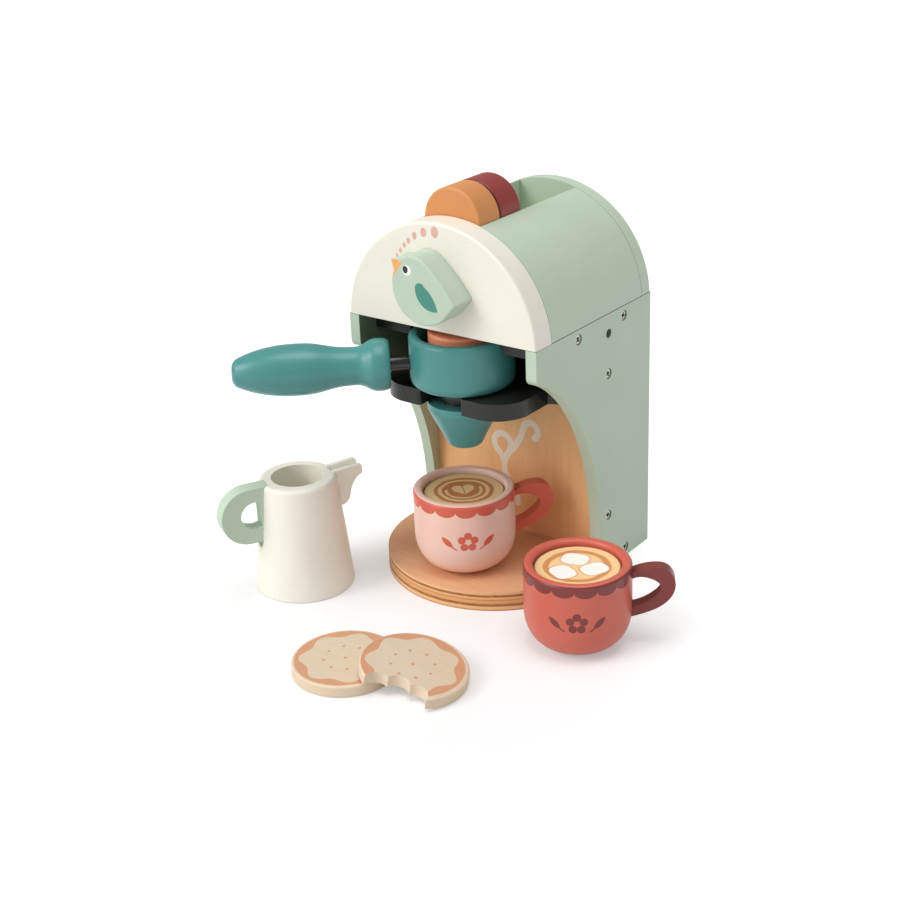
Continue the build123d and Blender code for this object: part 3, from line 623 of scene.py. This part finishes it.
# The middle and turn of each block.
MARSHMALLOWS = (((-5.6, 6.4), 14.0), ((9.4, 2.6), 66.0), ((-3.2, -9.8), -24.0))


def marshmallow(across, back, centre, angle):
    """A block with full, rounded sides, turned by degrees."""
    half_length, half_width = 7.6, 6.3
    side, rise = spun(across - centre[0], back - centre[1], radians(angle))
    block = (abs(side / half_length) ** 3.0 + abs(rise / half_width) ** 3.0) ** (1 / 3.0)
    return (block - 1) * half_width


def cocoa_print(finish, place, colour):
    """A pale crema with three soft marshmallows."""
    across, back, up = finish.split(finish.shift(place, (-RED_CUP[0], -RED_CUP[1], 0)))
    top = finish.edge(DRINK_TOP - 0.3 - up, 0.3)
    radius = reach(across, back)
    swirl = (finish.noise(place, 12.0, 2.0) - 0.5) * 2.6
    drink = finish.blend(finish.edge(abs(radius + swirl - 17.0) - 1.7, 0.4), CREMA, CREMA_RING)
    blocks = union(marshmallow(across, back, *block) for block in MARSHMALLOWS)
    drink = finish.blend(finish.edge(blocks - 0.7, 0.3) * 0.6, drink, SUGAR_SHADE)
    drink = finish.blend(finish.edge(blocks, 0.2), drink, SUGAR)
    # Painted shade: a dark ring round the disc's edge, for the gap to the cup's wall.
    drink = finish.blend(finish.edge(DRINK_RIM - radius, 0.3) * 0.7, drink, BORE_SHADE)
    return finish.blend(top, colour, drink), top


def biscuit_print(centre, lean):
    """A wavy toasted rim and a ring of pricked dots on a biscuit's upper face. A biscuit that
    leans is seen shorter from above."""
    def prints(finish, place, colour):
        across, back = finish.split(finish.shift(place, (-centre[0], -centre[1], 0)))[:2]
        facing = finish.split(finish.node("ShaderNodeTexCoord", out="Normal"))[2]
        top = finish.edge(0.9 - facing, 0.04)
        radius = reach(across / lean, back)
        angle = back.through("ARCTAN2", across)
        wave = (angle * CRUST_WAVES + 0.6).through("SINE")
        crust = most(CRUST_INSIDE + wave * 1.9 - radius, radius - CRUST_OUTSIDE)
        step = (angle * (PRICKS / tau)).through("WRAP", 0.5, -0.5) * (tau / PRICKS)
        ring = reach(radius * step.through("SINE"), radius * step.through("COSINE") - PRICK_RING)
        dots = least(radius - 1.1, ring - 0.95)
        mask = finish.edge(least(crust, dots), 0.2) * top
        # The upper face made a little darker and greyer.
        colour = finish.blend(top * 0.15, colour, BISCUIT_TOP_GREY)
        return finish.blend(mask * 0.9, colour, TOAST), mask
    return prints


def zinc_steel():
    """Zinc-plated steel with fine turning marks."""
    finish = Finish("zinc_steel")
    place = finish.place()
    spots = finish.noise(place, 0.6, 2.0)
    return finish.surface(
        Base_Color=finish.blend(spots, ZINC_SPOTS, ZINC),
        Metallic=1.0, Roughness=0.24 + spots * 0.14)


# ---- meshes ------------------------------------------------------------------------------------
def give(piece, material):
    """One finish over a whole piece."""
    piece.data.materials.clear()
    piece.data.materials.append(material)


def piece_from(shape, name, material):
    """An object from a finished bmesh, at the origin, smooth but for its sharp edges."""
    mesh = bpy.data.meshes.new(name)
    shape.to_mesh(mesh)
    shape.free()
    mesh.shade_smooth()
    mesh.set_sharp_from_angle(angle=radians(40))
    piece = bpy.data.objects.new(name, mesh)
    bpy.context.scene.collection.objects.link(piece)
    give(piece, material)
    return piece


def flare_pilot_hole(shape):
    """The mouths of the side panels' pilot holes, opened out."""
    for corner in shape.verts:
        back, up = corner.co.y - PILOT_HOLE[0] * MM, corner.co.z - PILOT_HOLE[1] * MM
        if abs(corner.co.x) > (HALF_WIDTH - 0.1) * MM and hypot(back, up) < PILOT_REACH * MM:
            corner.co.y += back * (PILOT_FLARE - 1)
            corner.co.z += up * (PILOT_FLARE - 1)


def eased(node, width, material, body):
    """A board with its sharp edges rounded over, which stands for its CAD node."""
    shape = bmesh.new()
    shape.from_mesh(nodes[node].data)
    bmesh.ops.remove_doubles(shape, verts=shape.verts, dist=2e-6)
    flare_pilot_hole(shape)
    bmesh.ops.dissolve_limit(shape, angle_limit=radians(0.4), verts=shape.verts,
                             edges=shape.edges)
    sharp = [edge for edge in shape.edges
             if len(edge.link_faces) == 2 and edge.calc_face_angle() > radians(34)]
    bmesh.ops.bevel(shape, geom=sharp, affect="EDGES", offset_type="OFFSET", offset=width * MM,
                    segments=3, profile=0.5, material=-1, clamp_overlap=True)
    piece = piece_from(shape, node + "_eased", material)
    even = piece.modifiers.new("even_shading", "WEIGHTED_NORMAL")
    even.keep_sharp = True
    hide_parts(node)
    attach(piece, body)
    return piece


def face_rank(face):
    """A number for a face from its three lowest corners. Faces sorted by it are in the same order
    on each run, which they aren't after an extrusion of edges."""
    lowest = sorted(corner.index for corner in face.verts)[:3]
    return sum(index * weight for index, weight in zip(lowest, (1e6, 1e3, 1.0)))


def cross_screw(twist):
    """A countersunk screw with a cross recess, its head at the origin and its shank down -Z."""
    shape = bmesh.new()
    outline = [(SCREW_HEAD, 0.0), (SCREW_SHANK, -1.2), (SCREW_SHANK, 2.0 - SCREW_LENGTH),
               (0.0, -SCREW_LENGTH)]
    corners = [shape.verts.new((x * MM, 0, z * MM)) for x, z in outline]
    lines = [shape.edges.new(pair) for pair in zip(corners, corners[1:])]
    bmesh.ops.spin(shape, geom=corners + lines, cent=(0, 0, 0), axis=(0, 0, 1), angle=tau,
                   steps=24, use_merge=True)
    bmesh.ops.remove_doubles(shape, verts=shape.verts, dist=1e-6)
    rim = [edge for edge in shape.edges if edge.is_boundary]
    arm, half = RECESS_ARM * MM, RECESS_HALF * MM
    quarter = [(arm, -half), (arm, half), (half, half)]
    points = []
    for step in range(4):
        spin = Matrix.Rotation(step * pi / 2, 2)
        points += [spin @ Vector(point) for point in quarter]
    cross = [shape.verts.new((x, y, 0)) for x, y in points]
    sides = [shape.edges.new(pair) for pair in zip(cross, cross[1:] + cross[:1])]
    bmesh.ops.subdivide_edges(shape, edges=sides, cuts=1)
    sides = [edge for edge in shape.edges if edge.is_wire]
    bmesh.ops.bridge_loops(shape, edges=rim + sides)
    lip = [edge for edge in shape.edges if edge.is_boundary]
    sunk = bmesh.ops.extrude_edge_only(shape, edges=lip)
    floor = [item for item in sunk["geom"] if isinstance(item, bmesh.types.BMVert)]
    bmesh.ops.scale(shape, vec=(RECESS_TAPER, RECESS_TAPER, 1), verts=floor)
    bmesh.ops.translate(shape, vec=(0, 0, -RECESS_DEPTH * MM), verts=floor)
    shape.verts.index_update()
    shape.faces.sort(key=face_rank)
    bmesh.ops.holes_fill(shape, edges=[edge for edge in shape.edges if edge.is_boundary])
    bmesh.ops.recalc_face_normals(shape, faces=shape.faces)
    bmesh.ops.rotate(shape, verts=shape.verts, cent=(0, 0, 0),
                     matrix=Matrix.Rotation(radians(twist), 3, "Z"))
    return shape


def screw_set(name, places, material, node):
    """Several screws as one piece: each place has its head's point, its outward way and a twist."""
    whole = bmesh.new()
    for point, outward, twist in places:
        one = cross_screw(twist)
        turn = Vector(outward).to_track_quat("Z", "Y").to_matrix().to_4x4()
        bmesh.ops.transform(one, verts=one.verts,
                            matrix=Matrix.Translation(Vector(point) * MM) @ turn)
        spare = bpy.data.meshes.new("spare")
        one.to_mesh(spare)
        one.free()
        whole.from_mesh(spare)
        bpy.data.meshes.remove(spare)
    piece = piece_from(whole, name, material)
    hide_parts(node)
    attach(piece, "machine")
    return piece


# ---- the toy's finishes ------------------------------------------------------------------------
sage_panel = painted_wood("sage_paint_panel", SAGE, "Z", 0.5, panel_print)
sage_shell = painted_wood("sage_paint_shell", SAGE, "Y", 0.46, shell_print)
sage_plain = painted_wood("sage_paint", SAGE, "Z", 0.48)
# Painted shade: the fascia's cream is a darker copy of the jug's, set against the stronger light
# that falls on the fascia.
cream_fascia = painted_wood("cream_paint_with_dots", shade(CREAM, 0.95), "X", 0.42, dial_dots)
cream_jug = painted_wood("cream_paint_turned", CREAM, "Z", 0.4)
charcoal = painted_wood("charcoal_paint", CHARCOAL, "X", 0.3, shine=0.36)
teal_turned = painted_wood("teal_paint_turned", TEAL, "Z", 0.36)
teal_handle = painted_wood("teal_paint_handle", TEAL, "X", 0.34)
bird_paint = painted_wood("sage_paint_bird", BIRD_SAGE, "X", 0.44, bird_print)
splash_wood = lacquered_wood("splash_board_wood", BIRCH, BIRCH_GRAIN, "Z", 0.42, steam_print)
dowel_wood = lacquered_wood("dowel_wood", BIRCH, DOWEL_GRAIN, "Y", 0.5)
rod_paint = painted_wood("black_rod_lacquer", CHARCOAL, "X", 0.2)

for node, material in (
    ("tray_base", tray_plywood()),
    ("fascia", cream_fascia),
    ("head_dowels", dowel_wood),
    ("knob_axle", dowel_wood),
    ("filter_pin", dowel_wood),
    ("bird_knob", bird_paint),
    ("spout_cone", painted_wood("teal_paint_cone", TEAL, "Z", 0.36, neck_print)),
    ("filter_bowl", teal_turned),
    ("filter_handle", teal_handle),
    ("handle_rod", rod_paint),
    ("capsule_orange", painted_wood("orange_paint", ORANGE, "Y", 0.46, capsule_print)),
    ("capsule_maroon", painted_wood("maroon_paint", MAROON, "Y", 0.42, capsule_print)),
    # Painted light: this capsule's coral is lightened for the shade it sits in under the head.
    ("capsule_coral", painted_wood("coral_paint", LIT_CORAL, "Z", 0.44)),
    ("pink_cup_body", painted_wood("pink_cup_paint", PINK, "Z", 0.42,
                                   cup_print(PINK_CUP, BASE_TOP, -3.0, -50.0, CORAL, CORAL))),
    ("red_cup_body", painted_wood("red_cup_paint", BRICK, "Z", 0.4,
                                  cup_print(RED_CUP, 0.0, -0.7, -58.0, DARK_RED, DARK_RED))),
    ("pink_cup_drink", lacquered_wood("coffee_disc", MAPLE, DISC_GRAIN, "X", 0.34,
                                      coffee_print)),
    ("red_cup_drink", lacquered_wood("cocoa_disc", MAPLE, DISC_GRAIN, "X", 0.34, cocoa_print)),
    ("biscuit_whole", lacquered_wood("whole_biscuit_wood", MAPLE, BISCUIT_GRAIN, "X", 0.5,
                                     biscuit_print(WHOLE_BISCUIT, 1.0))),
    ("biscuit_bitten", lacquered_wood("bitten_biscuit_wood", MAPLE, BISCUIT_GRAIN, "X", 0.5,
                                      biscuit_print(BITTEN_BISCUIT, BITTEN_LEAN))),
    ("jug_body", cream_jug),
):
    give(nodes[node], material)

coral_ear = painted_wood("coral_ear_paint", CORAL, "X", 0.42)
dark_ear = painted_wood("dark_red_ear_paint", DARK_RED, "X", 0.4)
for node, width, material, slot, body in (
    ("side_panel_left", 0.9, sage_panel, "sage_paint", "machine"),
    ("side_panel_right", 0.9, sage_panel, "sage_paint", "machine"),
    ("splash_board", 0.5, splash_wood, "bare_wood", "machine"),
    ("head_base", 0.5, charcoal, "black_paint", "machine"),
    ("head_shell_left", 0.6, sage_shell, "sage_paint", "machine"),
    ("head_shell_right", 0.6, sage_shell, "sage_paint", "machine"),
    ("rear_arch", 0.6, sage_shell, "sage_paint", "machine"),
    ("slot_cheek_left", 0.5, sage_shell, "sage_paint", "machine"),
    ("slot_cheek_right", 0.5, sage_shell, "sage_paint", "machine"),
    ("capsule_rail", 0.5, sage_shell, "sage_paint", "machine"),
    ("filter_fork", 1.0, charcoal, "black_paint", "machine"),
    ("release_gate", 0.4, sage_plain, "sage_paint", "bird_knob"),
    ("pink_cup_ear", 1.1, coral_ear, "coral_paint", "pink_cup"),
    ("red_cup_ear", 1.1, dark_ear, "dark_red_paint", "red_cup"),
    ("jug_ear", 1.6, sage_plain, "sage_paint", "milk_jug"),
    ("jug_spout", 1.0, cream_jug, "cream_paint", "milk_jug"),
):
    eased(node, width, material, body)

steel = zinc_steel()
side_screws = [((side * (HALF_WIDTH - SCREW_SINK), y, z), (side, 0, 0),
                17 + 41 * index + 23 * side)
               for side in (-1, 1) for index, (y, z) in enumerate(SCREW_PLACES)]
screw_set("side_screws_zinc", side_screws, steel, "side_screws")
fork_screws = [((x, *FORK_SCREW_HEADS), (0, 1, 0), 30 + 37 * index)
               for index, x in enumerate(FORK_SCREWS)]
screw_set("fork_screws_zinc", fork_screws, steel, "fork_screws")


# ---- studio ------------------------------------------------------------------------------------
def studio_floor():
    """A large pale floor that shows white to the camera and keeps the shadows near the toy."""
    shape = bmesh.new()
    bmesh.ops.create_grid(shape, x_segments=2, y_segments=2, size=12.0)
    finish = Finish("studio_floor")
    ray = finish.node("ShaderNodeLightPath", out="Is Camera Ray")
    seen = most(ray, most(ray.other("Is Glossy Ray"), ray.other("Is Transmission Ray")))
    across, back = finish.split(finish.place())[:2]
    away = finish.node("ShaderNodeMapRange", {"interpolation_type": "SMOOTHSTEP"},
                       {"Value": reach(across - 20.0, back + 130.0), "From Min": 110.0,
                        "From Max": 210.0, "To Min": 0.15, "To Max": 0.34})
    paper = finish.node("ShaderNodeBsdfDiffuse", sockets={"Color": (0.72, 0.72, 0.72, 1)})
    glow = finish.node("ShaderNodeEmission", sockets={"Color": (1, 1, 1, 1), "Strength": 2.1})
    finish.node("ShaderNodeOutputMaterial", sockets={
        "Surface": finish.node("ShaderNodeMixShader", sockets={0: seen * away, 1: paper, 2: glow})})
    floor = piece_from(shape, "studio_floor", finish.material)


def studio_world():
    """Even white surroundings, plain white where the camera looks past the floor."""
    world = bpy.data.worlds.new("studio")
    bpy.context.scene.world = world
    world.use_nodes = True
    tree = world.node_tree
    tree.nodes.clear()
    path = tree.nodes.new("ShaderNodeLightPath")
    strength = tree.nodes.new("ShaderNodeMapRange")
    strength.inputs["To Min"].default_value = 0.46
    strength.inputs["To Max"].default_value = 1.0
    tree.links.new(path.outputs["Is Camera Ray"], strength.inputs["Value"])
    light = tree.nodes.new("ShaderNodeBackground")
    tree.links.new(strength.outputs["Result"], light.inputs["Strength"])
    output = tree.nodes.new("ShaderNodeOutputWorld")
    tree.links.new(light.outputs["Background"], output.inputs["Surface"])
    light.inputs["Color"].default_value = (1, 1, 1, 1)


def soft_lamp(name, direction, spread, share):
    """A far, broad lamp that gives a share of full light to a surface that faces it."""
    lamp = bpy.data.lights.new(name, "SUN")
    lamp.angle = radians(spread)
    lamp.energy = share * pi
    source = bpy.data.objects.new(name, lamp)
    bpy.context.scene.collection.objects.link(source)
    source.rotation_euler = Vector(direction).to_track_quat("Z", "Y").to_euler()


# The camera's place in metres, its yaw from the front, pitch and roll in degrees, and its lens
# in millimetres.
CAMERA_PLACE = (0.5074, -0.7055, 0.4530)
CAMERA_ANGLES = (37.94, 23.80, -2.50)
CAMERA_LENS = 62.54


def studio_camera():
    """A long lens at the front right, a little over the toy."""
    lens = bpy.data.cameras.new("camera")
    lens.sensor_width = 36.0
    lens.lens = CAMERA_LENS
    lens.clip_end = 60.0
    camera = bpy.data.objects.new("camera", lens)
    bpy.context.scene.collection.objects.link(camera)
    yaw, pitch, roll = (radians(angle) for angle in CAMERA_ANGLES)
    back = Vector((sin(yaw) * cos(pitch), -cos(yaw) * cos(pitch), sin(pitch)))
    right = (-back).cross(Vector((0, 0, 1))).normalized()
    up = right.cross(-back)
    level = Matrix((right, up, back)).transposed()
    turn = level @ Matrix.Rotation(roll, 3, "Z")
    camera.matrix_world = Matrix.Translation(CAMERA_PLACE) @ turn.to_4x4()
    bpy.context.scene.camera = camera


studio_floor()
studio_world()
soft_lamp("key_softbox", (-0.45, -0.66, 0.62), 30.0, 0.4)
soft_lamp("low_softbox", (-0.35, -0.9, 0.2), 36.0, 0.15)
soft_lamp("top_softbox", (0.1, -0.05, 1.0), 36.0, 0.4)
studio_camera()
bpy.context.scene.view_settings.view_transform = "Standard"
